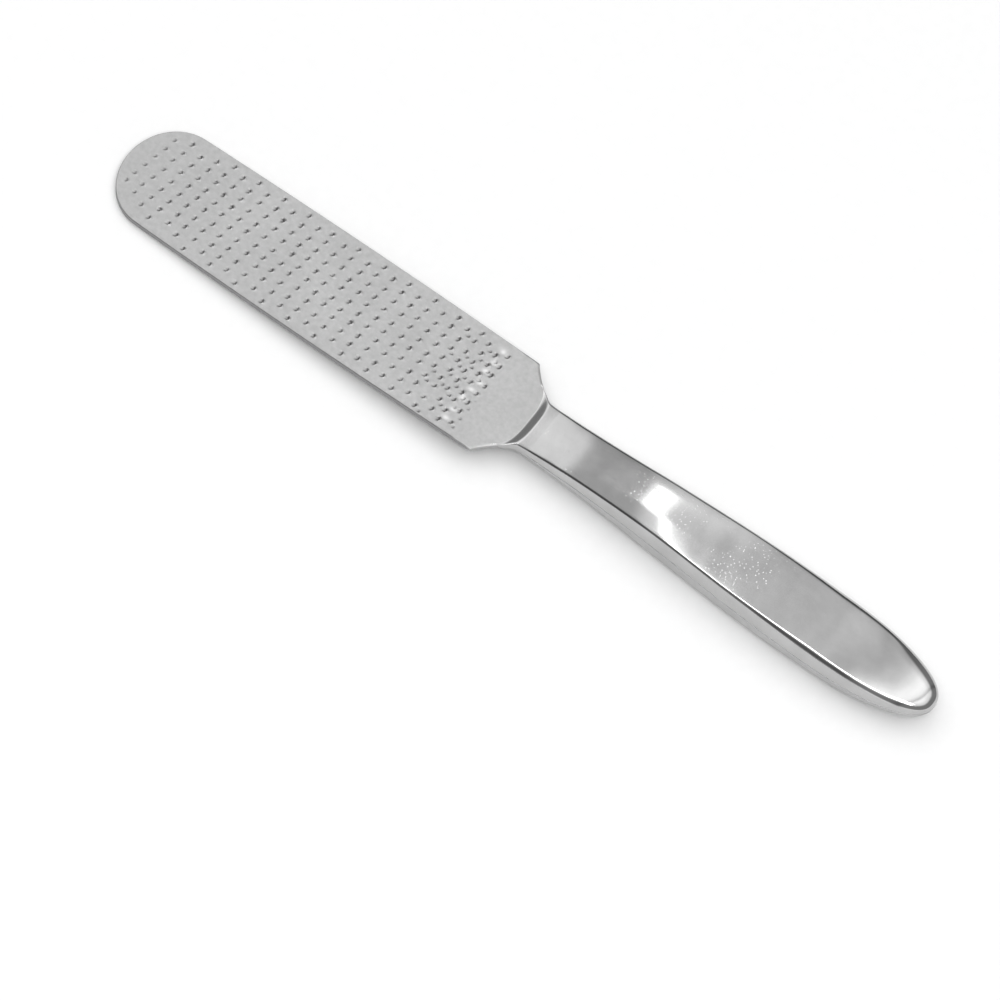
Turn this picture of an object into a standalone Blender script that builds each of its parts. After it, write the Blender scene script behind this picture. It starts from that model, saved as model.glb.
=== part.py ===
"""Double-sided steel hand rasp with a hollow handle.

The tool is one strip blade, with coarse punched teeth on its upper face and fine cuts in its lower face, held
by its tang in the neck of a hollow handle that is welded together from two pressed half shells.

Units are metres. +X runs along the tool from the blade's tip to the butt of the handle, +Z is the normal of
the coarse face, and the origin lies under the middle of the tool at the height of the handle's lowest point.
Places along the tool are given as a distance from the blade's tip.
"""

import math

import bmesh
import bpy
from mathutils import Matrix, Vector

MM = 0.001

# Overall
LENGTH = 200 * MM
GAP = 0.3 * MM  # clearance between pieces that the real tool welds or glues together

# Blade
BLADE_THICKNESS = 1.4 * MM
TIP_DEPTH = 10.6 * MM
TIP_HALF_WIDTH = 12.15 * MM
BLADE_SWELL = 0.42 * MM  # how much wider each side is in the middle of the blade than at its ends
SHOULDER_AT = 94.8 * MM
SHOULDER_HALF_WIDTH = 11.9 * MM
SHOULDER_CORNER = 0.4 * MM  # how far before SHOULDER_AT each shoulder's corner starts to turn
NECK_AT = 101.8 * MM
BLADE_NECK_HALF_WIDTH = 6.1 * MM
TANG_HALF_WIDTH = 3.6 * MM
TANG_END = 119 * MM
TANG_CHAMFER = 0.8 * MM
TANG_RELIEF = 0.1 * MM  # how much is ground off each face of the blade under the weld and along the tang

# Coarse teeth on the upper face
TOOTH_ROWS = 28
FIRST_ROW_AT = 4.4 * MM
ROW_PITCH = 3.22 * MM
LAST_ROW_PITCH = 2.4 * MM
CLOSER_ROWS = 6  # rows next to the heel whose pitch falls from ROW_PITCH to LAST_ROW_PITCH
TOOTH_PITCH = 2.7 * MM
TOOTH_RADIUS = 0.62 * MM
TOOTH_FOOT = 0.2 * MM  # how deep each tooth's foot is set in the blade
TOOTH_HEIGHT = 0.42 * MM
TOOTH_LEAN = 0.4 * MM  # how far each tooth's point lies towards the handle
TOOTH_MARGIN = 1.5 * MM
ROW_SLANT_TIP = math.radians(10.5)
ROW_SLANT_HEEL = math.radians(2)

# Fine cuts in the lower face
CUTS = 90
FIRST_CUT_AT = 2.4 * MM
CUT_PITCH = 0.95 * MM
CUT_DEPTH = 0.22 * MM
CUTTER_RADIUS = 0.6 * MM  # the cuts are made by the edges of three-sided bars of this radius

# Handle
NECK_HALF_WIDTH = 6 * MM
WIDEST_AT = 173 * MM
WIDEST_HALF_WIDTH = 8.2 * MM
WIDENING_FROM = 112 * MM
NECK_HALF_HEIGHT = 2.75 * MM
THICKEST_AT = 148 * MM
THICKEST_HALF_HEIGHT = 5.25 * MM
THICKENING_FROM = 95 * MM
BUTT_PLAN_POWER = 2.35
BUTT_SIDE_POWER = 2.8
NECK_DROP = 0.3 * MM  # how far the handle's middle plane lies below the blade's, at the neck
BUTT_DROP = 3.8 * MM  # and at the butt
DROP_FROM = 100 * MM
DROP_TO = 195 * MM
RIM_RADIUS = 1.2 * MM
RIM_SHARE = 0.45  # the most of a section's half width or half height that its rim takes
CROWN_SHARE = 0.1  # how much of its half height each handle face rises from its rim to its centre line
WALL = 0.8 * MM
SHELL_FROM = 104.4 * MM
CAVITY_END = 198.3 * MM

# What joins the pieces
WELD_FROM = 98.4 * MM
WELD_EDGE_HALF_HEIGHT = 1.25 * MM
WELD_FLARE = 1.8 * MM  # how much wider each side of the weld is over the blade than at the neck
SEAM_HALF_HEIGHT = 0.15 * MM
SEAM_WIDTH = 0.8 * MM
FILLER_FROM = 107.5 * MM
FILLER_TO = 122 * MM

SECTION_STEPS = 5  # points round each rim corner, and along each half of a crown
SHELL_STATIONS = 20
TIP_STEPS = 12
SIDE_STEPS = 6
FLANK_STEPS = 7
WELD_STEPS = 6
FILLER_STEPS = 5
CUTTER_REACH = 2 * MM  # how far a cutter goes past what it cuts
POINT = 0.02 * MM  # half the size that a rounded end shrinks to
MERGE = 0.001 * MM


def smooth(share):
    """A step from 0 to 1 that starts and ends level."""
    share = min(max(share, 0.0), 1.0)
    return share * share * (3 - 2 * share)


def rounded_end(share, power):
    """1 at share 0, falling to 0 at share 1 as the end of a superellipse does."""
    return (1 - min(share, 1.0) ** power) ** (1 / power)


def half_width(at):
    """Half the handle's width."""
    if at < WIDEST_AT:
        swell = smooth((at - WIDENING_FROM) / (WIDEST_AT - WIDENING_FROM))
        return NECK_HALF_WIDTH + (WIDEST_HALF_WIDTH - NECK_HALF_WIDTH) * swell
    return WIDEST_HALF_WIDTH * rounded_end((at - WIDEST_AT) / (LENGTH - WIDEST_AT), BUTT_PLAN_POWER)


def half_height(at):
    """Half the handle's thickness, crowns included."""
    if at < THICKEST_AT:
        swell = smooth((at - THICKENING_FROM) / (THICKEST_AT - THICKENING_FROM))
        return NECK_HALF_HEIGHT + (THICKEST_HALF_HEIGHT - NECK_HALF_HEIGHT) * swell
    share = (at - THICKEST_AT) / (LENGTH - THICKEST_AT)
    return THICKEST_HALF_HEIGHT * rounded_end(share, BUTT_SIDE_POWER)


def drop(at):
    """How far the handle's middle plane lies below the blade's."""
    return NECK_DROP + (BUTT_DROP - NECK_DROP) * smooth((at - DROP_FROM) / (DROP_TO - DROP_FROM))


BLADE_Z = max(drop(mm * MM) + half_height(mm * MM) for mm in range(100, 200))


def new_object(name, mesh, collection, material=None):
    obj = bpy.data.objects.new(name, mesh)
    collection.objects.link(obj)
    if material:
        mesh.materials.append(material)
    return obj


def steel(name, colour, roughness):
    material = bpy.data.materials.new(name)
    material.use_nodes = True
    shader = material.node_tree.nodes["Principled BSDF"]
    shader.inputs["Base Color"].default_value = (*colour, 1)
    shader.inputs["Metallic"].default_value = 1
    shader.inputs["Roughness"].default_value = roughness
    return material


def mesh_from(bm, name):
    """The mesh of a closed body, with its faces turned out."""
    if bm.calc_volume(signed=True) < 0:
        bmesh.ops.reverse_faces(bm, faces=bm.faces)
    mesh = bpy.data.meshes.new(name)
    bm.to_mesh(mesh)
    bm.free()
    return mesh


def loft(name, stations, section, collection, material=None):
    """A closed solid through one closed outline of (y, z) points for each station, with flat ends."""
    bm = bmesh.new()
    rings = []
    for at in stations:
        rings.append([bm.verts.new((at - LENGTH / 2, y, z)) for y, z in section(at)])
    for ring, following in zip(rings, rings[1:]):
        for i in range(len(ring)):
            j = (i + 1) % len(ring)
            bm.faces.new((ring[i], ring[j], following[j], following[i]))
    bm.faces.new(reversed(rings[0]))
    bm.faces.new(rings[-1])
    return new_object(name, mesh_from(bm, name), collection, material)


def arch(width, height):
    """The upper side of a section as (y, z) points, given half its width and its height: a rim, a crown and
    a rim."""
    radius = min(RIM_RADIUS, RIM_SHARE * height, RIM_SHARE * width)
    shoulder = height * (1 - CROWN_SHARE)
    quarter = []
    for i in range(SECTION_STEPS):
        angle = math.pi / 2 * i / (SECTION_STEPS - 1)
        inwards = radius * (1 - math.cos(angle))
        down = radius * (1 - math.sin(angle))
        quarter.append((width - inwards, shoulder - down))
    for i in range(1, SECTION_STEPS):
        share = i / SECTION_STEPS
        crown = height * CROWN_SHARE * (1 - (1 - share) ** 2)
        quarter.append(((width - radius) * (1 - share), shoulder + crown))
    mirrored = [(-y, z) for y, z in reversed(quarter)]
    return quarter + [(0, height)] + mirrored


def stations_to_butt(start, end, count):
    """Places from start to end that lie closer together towards the end."""
    return [start + (end - start) * math.sin(math.pi / 2 * i / count) for i in range(count + 1)]


def half_section(at, side):
    """Outline of the handle's half above (side 1) or below (side -1) the seam, with a flat edge."""
    edge = SEAM_HALF_HEIGHT + GAP
    middle = BLADE_Z - drop(at)
    width = max(half_width(at), POINT)
    height = max(half_height(at) - edge, POINT)
    outline = [(width, 0)] + arch(width, height) + [(-width, 0)]
    return [(y, middle + side * (edge + z)) for y, z in outline]


def cavity_section(at, side):
    """The handle's hollow, which shrinks to nothing just before the butt."""
    middle = BLADE_Z - drop(at)
    width = half_width(at) - WALL
    height = half_height(at) - WALL
    if at > WIDEST_AT:
        share = (at - WIDEST_AT) / (CAVITY_END - WIDEST_AT)
        width = (WIDEST_HALF_WIDTH - WALL) * rounded_end(share, BUTT_PLAN_POWER)
    if at > THICKEST_AT:
        share = (at - THICKEST_AT) / (CAVITY_END - THICKEST_AT)
        height = (THICKEST_HALF_HEIGHT - WALL) * rounded_end(share, BUTT_SIDE_POWER)
    outline = [(width, -CUTTER_REACH)] + arch(width, height) + [(-width, -CUTTER_REACH)]
    return [(y, middle + side * z) for y, z in outline]


def boolean(obj, other, operation):
    modifier = obj.modifiers.new(f"{operation.lower()}_{other.name}", "BOOLEAN")
    modifier.operation = operation
    modifier.solver = "EXACT"
    modifier.object = other


def cutter(obj):
    obj.hide_render = True
    obj.display_type = "WIRE"
    return obj


def box(name, start, end, half_across, low, high, collection):
    """A box along the tool, centred across it, with its low and high sides given from the blade's middle."""
    bm = bmesh.new()
    bmesh.ops.create_cube(bm, size=1)
    middle = ((start + end) / 2 - LENGTH / 2, 0, BLADE_Z + (low + high) / 2)
    bmesh.ops.scale(bm, vec=(end - start, 2 * half_across, high - low), verts=bm.verts)
    bmesh.ops.translate(bm, vec=middle, verts=bm.verts)
    return cutter(new_object(name, mesh_from(bm, name), collection))


def tang_room(name, start, end, half_across, collection):
    """A box that clears the blade's two faces by the gap."""
    half_up = BLADE_THICKNESS / 2 + GAP
    return box(name, start, end, half_across, -half_up, half_up, collection)


def blade_half_width(at):
    """Half the blade's width in front of its shoulders."""
    if at < TIP_DEPTH:
        return TIP_HALF_WIDTH * math.sqrt(1 - (1 - at / TIP_DEPTH) ** 2)
    middle = (TIP_DEPTH + SHOULDER_AT) / 2
    return TIP_HALF_WIDTH + BLADE_SWELL * (1 - ((at - middle) / (SHOULDER_AT - middle)) ** 2)


def bezier(points, share):
    """A point on a cubic curve."""
    a, b, c, d = (Vector(p) for p in points)
    rest = 1 - share
    return a * rest**3 + b * 3 * rest**2 * share + c * 3 * rest * share**2 + d * share**3


def blade_side():
    """The blade's outline on its +Y side, from just behind the tip to the end of the tang."""
    points = []
    for i in range(1, TIP_STEPS):
        angle = math.pi / 2 * i / TIP_STEPS
        at = TIP_DEPTH * (1 - math.cos(angle))
        points.append((at, blade_half_width(at)))
    for i in range(SIDE_STEPS + 1):
        at = TIP_DEPTH + (SHOULDER_AT - SHOULDER_CORNER - TIP_DEPTH) * i / SIDE_STEPS
        points.append((at, blade_half_width(at)))
    flank = (
        (SHOULDER_AT, SHOULDER_HALF_WIDTH),
        (SHOULDER_AT + 1.9 * MM, 0.8 * SHOULDER_HALF_WIDTH),
        (SHOULDER_AT + 3.9 * MM, 0.63 * SHOULDER_HALF_WIDTH),
        (NECK_AT, BLADE_NECK_HALF_WIDTH),
    )
    for i in range(FLANK_STEPS + 1):
        points.append(tuple(bezier(flank, i / FLANK_STEPS)))
    points.append((NECK_AT, TANG_HALF_WIDTH))
    points.append((TANG_END - TANG_CHAMFER, TANG_HALF_WIDTH))
    points.append((TANG_END, TANG_HALF_WIDTH - TANG_CHAMFER))
    return points


def blade_plate(collection, material):
    """The blade's outline as a flat 2D curve, extruded and made a mesh."""
    side = blade_side()
    outline = [(0.0, 0.0)] + side + [(at, -y) for at, y in reversed(side)]
    curve = bpy.data.curves.new("blade_outline", "CURVE")
    curve.dimensions = "2D"
    curve.fill_mode = "BOTH"
    curve.extrude = BLADE_THICKNESS / 2
    spline = curve.splines.new("POLY")
    spline.points.add(len(outline) - 1)
    for point, (at, y) in zip(spline.points, outline):
        point.co = (at - LENGTH / 2, y, 0, 1)
    spline.use_cyclic_u = True
    guide = bpy.data.objects.new("blade_outline", curve)
    guide.location.z = BLADE_Z
    collection.objects.link(guide)
    bpy.context.view_layer.update()
    evaluated = guide.evaluated_get(bpy.context.evaluated_depsgraph_get())
    mesh = bpy.data.meshes.new_from_object(evaluated)
    mesh.name = "rasp_blade"
    bm = bmesh.new()
    bm.from_mesh(mesh)
    bmesh.ops.remove_doubles(bm, verts=bm.verts, dist=MERGE)
    bmesh.ops.recalc_face_normals(bm, faces=bm.faces)
    bm.to_mesh(mesh)
    bm.free()
    plate = new_object("rasp_blade", mesh, collection)
    plate.matrix_world = guide.matrix_world.copy()
    bpy.data.objects.remove(guide)
    mesh.materials.clear()
    mesh.materials.append(material)
    return plate


def row_places():
    """Where each row of coarse teeth crosses the blade's centre line."""
    places = [FIRST_ROW_AT]
    for row in range(1, TOOTH_ROWS):
        closeness = max(0.0, (row - (TOOTH_ROWS - 1 - CLOSER_ROWS)) / CLOSER_ROWS)
        places.append(places[-1] + ROW_PITCH + (LAST_ROW_PITCH - ROW_PITCH) * closeness)
    return places


def coarse_teeth(collection):
    """Every coarse tooth as a four-sided point that leans towards the handle, with its foot in the blade."""
    bm = bmesh.new()
    top = BLADE_Z + BLADE_THICKNESS / 2
    columns = math.ceil(TIP_HALF_WIDTH / TOOTH_PITCH)
    for row, place in enumerate(row_places()):
        slant = ROW_SLANT_TIP + (ROW_SLANT_HEEL - ROW_SLANT_TIP) * row / (TOOTH_ROWS - 1)
        stagger = TOOTH_PITCH / 2 if row % 2 else 0.0
        for column in range(-columns, columns + 1):
            y = column * TOOTH_PITCH + stagger
            at = place + y * math.tan(slant)
            room = blade_half_width(at) - TOOTH_MARGIN if at > 0 else 0.0
            if at < FIRST_ROW_AT - TOOTH_MARGIN or abs(y) > room:
                continue
            centre = Matrix.Translation((at - LENGTH / 2, y, top + (TOOTH_HEIGHT - TOOTH_FOOT) / 2))
            tooth = bmesh.ops.create_cone(
                bm,
                cap_ends=True,
                segments=4,
                radius1=TOOTH_RADIUS,
                radius2=0,
                depth=TOOTH_HEIGHT + TOOTH_FOOT,
                matrix=centre,
            )
            bmesh.ops.remove_doubles(bm, verts=tooth["verts"], dist=MERGE)
            point = max((v for v in tooth["verts"] if v.is_valid), key=lambda v: v.co.z)
            point.co.x += TOOTH_LEAN
    return cutter(new_object("coarse_teeth", mesh_from(bm, "coarse_teeth"), collection))


def fine_cuts(collection):
    """A three-sided bar across the blade for each fine cut, one edge down in the lower face."""
    bm = bmesh.new()
    bottom = BLADE_Z - BLADE_THICKNESS / 2
    along_y = Matrix.Rotation(math.pi / 2, 4, "X")
    for cut in range(CUTS):
        at = FIRST_CUT_AT + cut * CUT_PITCH
        centre = Matrix.Translation((at - LENGTH / 2, 0, bottom + CUT_DEPTH - CUTTER_RADIUS))
        bmesh.ops.create_cone(
            bm,
            cap_ends=True,
            segments=3,
            radius1=CUTTER_RADIUS,
            radius2=CUTTER_RADIUS,
            depth=3 * TIP_HALF_WIDTH,
            matrix=centre @ along_y,
        )
    return cutter(new_object("fine_cuts", mesh_from(bm, "fine_cuts"), collection))


def rasp_blade(collection, cutters, material):
    plate = blade_plate(collection, material)
    boolean(plate, coarse_teeth(cutters), "UNION")
    boolean(plate, fine_cuts(cutters), "DIFFERENCE")
    face = BLADE_THICKNESS / 2 - TANG_RELIEF
    for name, low, high in (("upper_relief", face, 2 * face), ("lower_relief", -2 * face, -face)):
        start = WELD_FROM - GAP
        relief = box(name, start, TANG_END + CUTTER_REACH, 2 * NECK_HALF_WIDTH, low, high, cutters)
        boolean(plate, relief, "DIFFERENCE")
    return plate


def weld_section(at):
    """Outline of the weld ring, a concave ramp from the blade up to the neck's full height."""
    share = (at - WELD_FROM) / (SHELL_FROM - GAP - WELD_FROM)
    rise = share**1.8
    height = WELD_EDGE_HALF_HEIGHT + (half_height(SHELL_FROM) - WELD_EDGE_HALF_HEIGHT) * rise
    middle = BLADE_Z - drop(SHELL_FROM) * rise
    upper = arch(NECK_HALF_WIDTH + WELD_FLARE * (1 - share) ** 2, height)
    lower = [(-y, -z) for y, z in upper]
    return [(y, middle + z) for y, z in upper + lower]


def neck_weld(collection, cutters, material):
    """A ring round the tang at the mouth of the neck, with a lip over each face of the blade."""
    end = SHELL_FROM - GAP
    stations = [WELD_FROM + (end - WELD_FROM) * i / WELD_STEPS for i in range(WELD_STEPS + 1)]
    weld = loft("neck_weld", stations, weld_section, collection, material)
    slot = tang_room("weld_slot", WELD_FROM - CUTTER_REACH, NECK_AT + GAP, 2 * NECK_HALF_WIDTH, cutters)
    hole = tang_room("weld_hole", WELD_FROM, end + CUTTER_REACH, TANG_HALF_WIDTH + GAP, cutters)
    boolean(weld, slot, "DIFFERENCE")
    boolean(weld, hole, "DIFFERENCE")
    return weld


def handle_shell(name, side, collection, cutters, material):
    """One half of the hollow handle, open at its edge and at the neck and closed at the butt."""
    outside = stations_to_butt(SHELL_FROM, LENGTH, SHELL_STATIONS)
    shell = loft(name, outside, lambda at: half_section(at, side), collection, material)
    mouth = SHELL_FROM - CUTTER_REACH
    inside = stations_to_butt(mouth, CAVITY_END - GAP, SHELL_STATIONS)
    hollow = loft(f"{name}_hollow", inside, lambda at: cavity_section(at, side), cutters)
    boolean(shell, cutter(hollow), "DIFFERENCE")
    return shell


def seam_plate(name, thinner, half_up, start, collection, material=None):
    """A thin plate that fills the handle's outline at its middle plane."""

    def section(at):
        middle = BLADE_Z - drop(at)
        width = max(half_width(at) - thinner, POINT)
        low = middle - half_up
        high = middle + half_up
        return [(width, low), (width, high), (-width, high), (-width, low)]

    stations = stations_to_butt(start, LENGTH - thinner, SHELL_STATIONS)
    return loft(name, stations, section, collection, material)


def seam_weld(collection, cutters, material):
    """The thin bead between the edges of the two half shells, running down both sides and round the butt."""
    bead = seam_plate("seam_weld", 0.0, SEAM_HALF_HEIGHT, SHELL_FROM, collection, material)
    inside = seam_plate("seam_inside", SEAM_WIDTH, SEAM_HALF_HEIGHT + GAP, SHELL_FROM - CUTTER_REACH, cutters)
    boolean(bead, cutter(inside), "DIFFERENCE")
    return bead


def filler_section(at):
    """Outline of the filler, which clears the inside of the shells all round."""
    middle = BLADE_Z - drop(at)
    upper = arch(half_width(at) - WALL - GAP, half_height(at) - WALL - GAP)
    lower = [(-y, -z) for y, z in upper]
    return [(y, middle + z) for y, z in upper + lower]


def tang_filler(collection, cutters, material):
    """The plug of filler in the neck, with a blind slot that the tang sits in."""
    stations = [FILLER_FROM + (FILLER_TO - FILLER_FROM) * i / FILLER_STEPS for i in range(FILLER_STEPS + 1)]
    filler = loft("tang_filler", stations, filler_section, collection, material)
    slot = tang_room("tang_slot", FILLER_FROM - CUTTER_REACH, TANG_END + GAP, TANG_HALF_WIDTH + GAP, cutters)
    boolean(filler, slot, "DIFFERENCE")
    return filler


def build():
    for obj in list(bpy.data.objects):
        bpy.data.objects.remove(obj)
    parts = bpy.data.collections.new("hand_rasp")
    cutters = bpy.data.collections.new("cutters")
    bpy.context.scene.collection.children.link(parts)
    bpy.context.scene.collection.children.link(cutters)

    satin = steel("satin_steel", (0.56, 0.56, 0.57), 0.38)
    polished = steel("polished_steel", (0.66, 0.66, 0.67), 0.16)
    weld = steel("weld_steel", (0.5, 0.5, 0.51), 0.3)
    grey_filler = steel("filler", (0.3, 0.3, 0.29), 0.8)

    rasp_blade(parts, cutters, satin)
    neck_weld(parts, cutters, weld)
    for name, side in (("handle_upper_shell", 1), ("handle_lower_shell", -1)):
        shell = handle_shell(name, side, parts, cutters, polished)
        shell.data.shade_smooth()
        shell.data.set_sharp_from_angle(angle=math.radians(40))
    seam_weld(parts, cutters, weld)
    tang_filler(parts, cutters, grey_filler)


build()
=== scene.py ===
import math

import bmesh
import bpy
import numpy as np
from mathutils import Matrix, Vector


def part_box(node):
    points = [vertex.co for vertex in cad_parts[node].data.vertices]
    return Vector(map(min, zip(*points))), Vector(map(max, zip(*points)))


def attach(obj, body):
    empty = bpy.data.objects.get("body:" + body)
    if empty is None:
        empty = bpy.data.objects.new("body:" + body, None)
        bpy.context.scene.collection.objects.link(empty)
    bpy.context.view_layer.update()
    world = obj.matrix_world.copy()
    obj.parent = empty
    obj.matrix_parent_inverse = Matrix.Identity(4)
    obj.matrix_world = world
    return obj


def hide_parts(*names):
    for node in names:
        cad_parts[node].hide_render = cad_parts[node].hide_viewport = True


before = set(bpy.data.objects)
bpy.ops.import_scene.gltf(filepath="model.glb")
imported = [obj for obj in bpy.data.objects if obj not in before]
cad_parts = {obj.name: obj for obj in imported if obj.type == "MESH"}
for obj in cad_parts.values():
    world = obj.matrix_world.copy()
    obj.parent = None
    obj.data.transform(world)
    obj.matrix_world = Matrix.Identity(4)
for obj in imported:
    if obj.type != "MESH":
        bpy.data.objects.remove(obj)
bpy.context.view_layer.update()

MM = 0.001
DEGREE = math.pi / 180

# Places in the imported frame: +X runs from the blade's tip to the butt, and "at" is a distance from the
# tip.
BLADE_LOW, BLADE_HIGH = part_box("rasp_blade")
HANDLE_LOW, HANDLE_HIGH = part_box("handle_upper_shell")
TIP_X = BLADE_LOW.x
LENGTH = HANDLE_HIGH.x - TIP_X
MOUTH_AT = HANDLE_LOW.x - TIP_X
TANG_END = BLADE_HIGH.x - TIP_X

# Blade
BLADE_HALF_THICKNESS = 0.7 * MM
BLADE_Z = BLADE_LOW.z + BLADE_HALF_THICKNESS
TIP_DEPTH = 10.6 * MM
TIP_HALF_WIDTH = 12.15 * MM
BLADE_SWELL = 0.42 * MM
SHOULDER_AT = 94.8 * MM
SHOULDER_HALF_WIDTH = 11.9 * MM
SHOULDER_CORNER = 0.4 * MM
FLANK_END_AT = 101.8 * MM
FLANK_END_HALF_WIDTH = 6.1 * MM
FLANK_TUCK = 0.35 * MM  # how far the flank stays inside the neck that covers it
NECK_BED_DEPTH = 0.1 * MM  # how far the blade's faces are let down under the neck that covers them
TANG_HALF_WIDTH = 3.5 * MM
BEVEL_IN = 0.13 * MM
BEVEL_DOWN = 0.12 * MM
FLANK_BEVEL_IN = 0.41 * MM
FLANK_BEVEL_DOWN = 0.2 * MM
HEEL_CROWN = 0.05 * MM
TOOTHED_TO = 89.7 * MM
OUTLINE_STEP = 0.197 * MM  # between the grid lines across the toothed part
TOP_COLUMNS = 121  # grid lines along the coarse face, and along the fine one
LOW_COLUMNS = 61

# Coarse teeth
TOOTH_ROWS = 28
FIRST_ROW_AT = 4.4 * MM
ROW_PITCH = 3.22 * MM
LAST_ROW_PITCH = 2.4 * MM
CLOSER_ROWS = 6
TOOTH_PITCH = 2.7 * MM
TOOTH_HEIGHT = 0.2 * MM
PIT_DEPTH = 0.3 * MM
DISH_DEPTH = 0.12 * MM  # the shallow dishes before the last row of teeth
TOOTH_MARGIN = 1.5 * MM
TOOTH_SCATTER = 0.13 * MM
TOOTH_TURN = 0.16
ROW_SLANT_TIP = 10.5 * DEGREE
ROW_SLANT_HEEL = 2 * DEGREE
BURR_ROWS = 5  # the last rows, between which small burrs stand
BURR_SHARE = 0.6  # of the teeth there that have one
BURR_BEHIND = 1.0 * MM
BURR_ASIDE = 1.1 * MM
BURR_SCATTER = 0.15 * MM

# Fine cuts
CUT_PITCH = 0.95 * MM
CUT_DEPTH = 0.16 * MM
CUT_SLANT = 15 * DEGREE
CUT_WAVE = 0.34 * MM
CUT_WAVE_LENGTH = 4.8 * MM

# Handle
NECK_HALF_WIDTH = 6 * MM
WIDEST_AT = 173 * MM
WIDEST_HALF_WIDTH = 8.2 * MM
WIDENING_FROM = 112 * MM
NECK_HALF_HEIGHT = 2.75 * MM
THICKEST_AT = 148 * MM
THICKEST_HALF_HEIGHT = 5.25 * MM
THICKENING_FROM = 95 * MM
BUTT_PLAN_POWER = 2.35
BUTT_SIDE_POWER = 2.8
NECK_DROP = 0.3 * MM
BUTT_DROP = 3.8 * MM
DROP_FROM = 100 * MM
DROP_TO = 195 * MM
RIM_RADIUS = 1.15 * MM
CROWN_SHARE = 0.1
BUTT_CROWN_SHARE = 0.15
OVAL_POWER = 2.4
OVAL_FROM = 182 * MM
OVAL_SHARE = 0.85
WALL = 0.8 * MM
WALL_BULGE = 0.3 * MM
SEAM_HALF_HEIGHT = 0.13 * MM
SEAM_DEPTH = 0.8 * MM
SEAM_RECESS = 0.05 * MM
POLISH_WAVE = 0.03 * MM
# Slope of the handle's upper face along it, as (distance from the tip in millimetres, degrees)
FACE_SLOPES = (
    (104.4, 5.6),
    (112.0, 5.0),
    (115.0, 3.5),
    (127.0, 2.8),
    (129.5, 2.0),
    (136.5, -2.0),
    (141.0, -2.5),
    (146.0, -2.8),
    (152.0, -2.8),
    (165.0, -3.2),
    (178.0, -4.2),
)
FACE_TO = 178 * MM
BEND_SLANT = 0.25  # how much nearer the tip the bends between the slopes lie, per distance to +Y
BUTT_RIM_RADIUS = 2.6 * MM
BUTT_RIM_FROM = 148 * MM
BUTT_RIM_TO = 188 * MM

# Neck
NECK_FROM = 97.3 * MM
NECK_WEDGE = 2.4 * MM  # how steeply the neck starts to rise out of the blade's flanks
NECK_START_INSET = 0.3 * MM  # how much narrower than the blade the neck starts
NECK_START_RIM = 0.06 * MM
CREASE_AT = 99.8 * MM
CREASE_BOW = 1.1 * MM
CREASE_HALF_SPAN = 6.8 * MM
CREASE_RUN = 2.6 * MM
CREASE_FOOT = 0.05 * MM

# Camera and floor
VIEW_AZIMUTH = 25.34 * DEGREE
VIEW_ELEVATION = 63.27 * DEGREE
VIEW_ROLL = 11.19 * DEGREE
VIEW_DISTANCE = 1.2
VIEW_AIM = Vector((0, 0, 7.7 * MM))
VIEW_ASIDE = -5.31 * MM
VIEW_BELOW = -15.38 * MM
LENS = 214.5
SENSOR_WIDTH = 36
FLOOR_SIZE = 5.0
FLOOR_GAP = 0.02 * MM

# The surround: its light by the direction's Z with a little Y, and by its X, as (place on the ramp,
# brightness). The second puts the bands of light and dark on the handle.
SKY_Y_SHARE = 0.12
SKY_BY_HEIGHT = (
    (0.0, 0.7),
    (0.05, 0.45),
    (0.14, 0.18),
    (0.6, 0.18),
    (0.73, 0.75),
    (0.86, 1.05),
    (1.0, 1.05),
)
SKY_BY_LENGTH = (
    # the neck, and the dark zone behind it
    (0.0, 1.8),
    (0.1, 1.25),
    (0.162, 1.25),
    (0.18, 1.15),
    (0.2, 0.8),
    (0.215, 0.52),
    (0.245, 0.52),
    # round the highlight
    (0.275, 1.0),
    (0.365, 1.1),
    (0.403, 1.2),
    # the back half of the handle
    (0.415, 1.15),
    (0.424, 0.82),
    (0.433, 0.7),
    (0.44, 0.67),
    (0.449, 0.65),
    (0.456, 0.78),
    (0.464, 1.05),
    (0.477, 0.65),
    (0.49, 0.8),
    (0.503, 1.12),
    (0.52, 0.75),
    # the butt
    (0.55, 0.72),
    (0.607, 1.05),
    (0.66, 1.4),
    (0.7125, 1.7),
    (0.78, 1.8),
    (0.86, 1.7),
    (0.95, 1.0),
    (1.0, 1.8),
)

# Soft lights: name, direction they stand in, distance, width and length, direction their length is laid
# along, glow
SOFTBOXES = (
    ("key_softbox", (0.25, -0.4, 0.88), 1.6, (0.32, 1.25), (1, 0, 0), 5.2),
    ("strip_softbox", (-0.18, 0.45, 0.88), 1.7, (0.12, 0.62), (0, 1, 0), 2.2),
    ("strip_halo", (-0.155, 0.45, 0.88), 1.75, (0.15, 0.74), (0, 1, 0), 0.6),
    ("tail_softbox", (-0.1, 0.13, 0.98), 1.7, (0.08, 0.6), (0.12, -1, 0), 2.2),
    ("tail_halo", (-0.095, 0.13, 0.98), 1.75, (0.15, 0.7), (0.12, -1, 0), 0.8),
)

rng = np.random.default_rng(11)


def smooth(share):
    """A soft step from 0 to 1."""
    share = np.clip(share, 0.0, 1.0)
    return share * share * (3 - 2 * share)


def rounded_end(share, power):
    """A superellipse's quarter, from 1 at share 0 down to 0 at share 1."""
    return (1 - np.clip(share, 0, 1) ** power) ** (1 / power)


def half_width(at):
    """Half the handle's width."""
    swell = smooth((at - WIDENING_FROM) / (WIDEST_AT - WIDENING_FROM))
    before = NECK_HALF_WIDTH + (WIDEST_HALF_WIDTH - NECK_HALF_WIDTH) * swell
    share = (at - WIDEST_AT) / (LENGTH - WIDEST_AT)
    return np.where(at < WIDEST_AT, before, WIDEST_HALF_WIDTH * rounded_end(share, BUTT_PLAN_POWER))


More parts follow.
